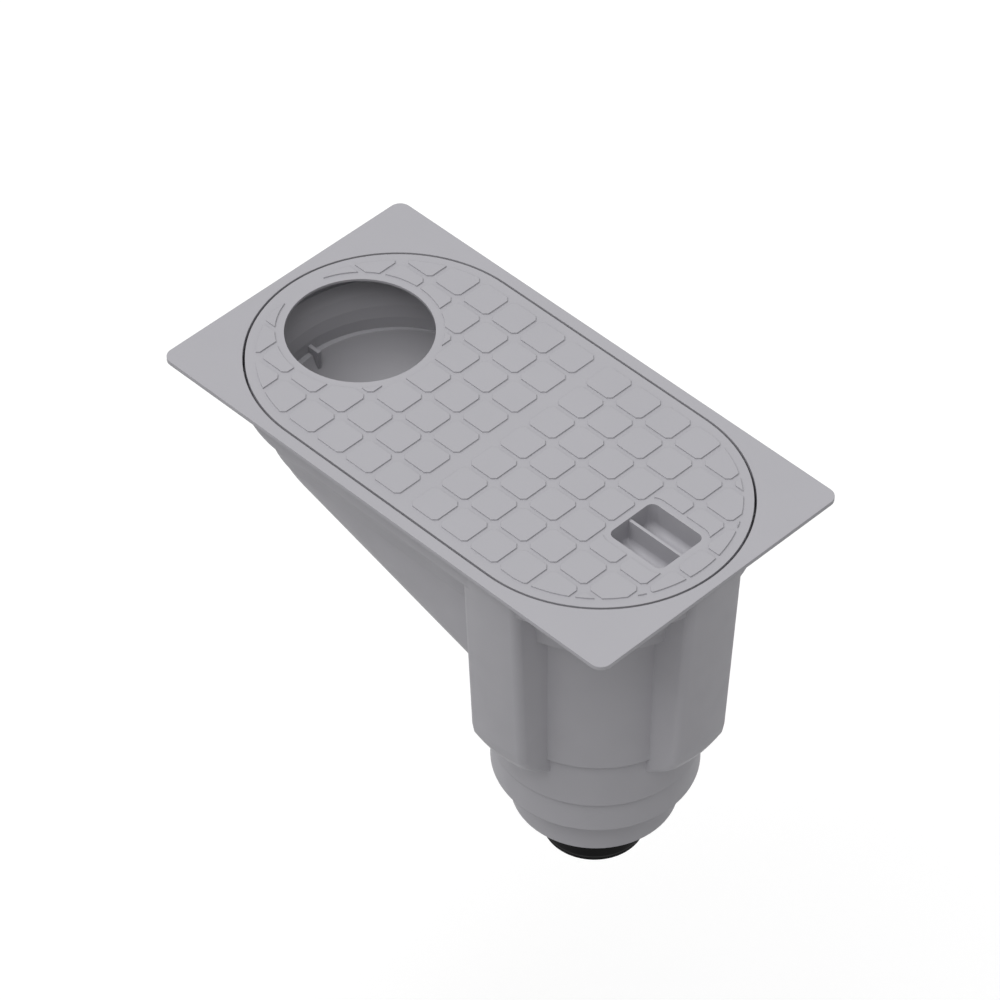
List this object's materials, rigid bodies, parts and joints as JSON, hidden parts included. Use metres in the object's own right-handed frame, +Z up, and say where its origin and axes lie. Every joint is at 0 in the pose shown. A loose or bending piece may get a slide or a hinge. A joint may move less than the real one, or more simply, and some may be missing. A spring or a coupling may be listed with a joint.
{
  "type": "rainwater gully",
  "caption": "Flush rainwater gully for a downpipe: a lidded hopper falls to a round chamber with a leaf basket, a sprung odour flap and a stepped drain spigot.",
  "frame": {"origin": "on the chamber's axis at the shoulder of the drain spigot", "axes": "+X from the downpipe inlet towards the chamber, +Z up, -Z down the drain; the paving is level with the flange's top, 0.2625 m up"},
  "size_m": [0.441, 0.24, 0.3417],
  "materials": {
    "grey_plastic": "matte, lightly grained",
    "lid_plastic": "matte, lightly grained",
    "basket_plastic": "matte",
    "trap_plastic": "satin",
    "black_rubber": "matte",
    "steel": "satin"
  },
  "bodies": {
    "gully": {"gully_body": "grey_plastic", "lid": "lid_plastic", "leaf_basket": "basket_plastic", "trap_insert": "trap_plastic", "trap_seal": "black_rubber", "flap_pin": "steel", "flap_spring": "steel"},
    "bail": {"basket_bail": "basket_plastic"},
    "flap": {"flap": "trap_plastic", "flap_seal": "black_rubber"}
  },
  "joints": [
    {"name": "bail_swing", "type": "hinge", "parent": "gully", "child": "bail", "pos_m": [0, 0, 0.0806], "axis": [0, -1, 0], "range_deg": [0, 180]},
    {"name": "flap_hinge", "type": "hinge", "parent": "gully", "child": "flap", "pos_m": [-0.046, 0, -0.0703], "axis": [0, 1, 0], "range_deg": [0, 70], "stiffness_Nm_per_rad": 0.008, "springref_deg": -80.21, "deforming": ["flap_spring"]}
  ]
}
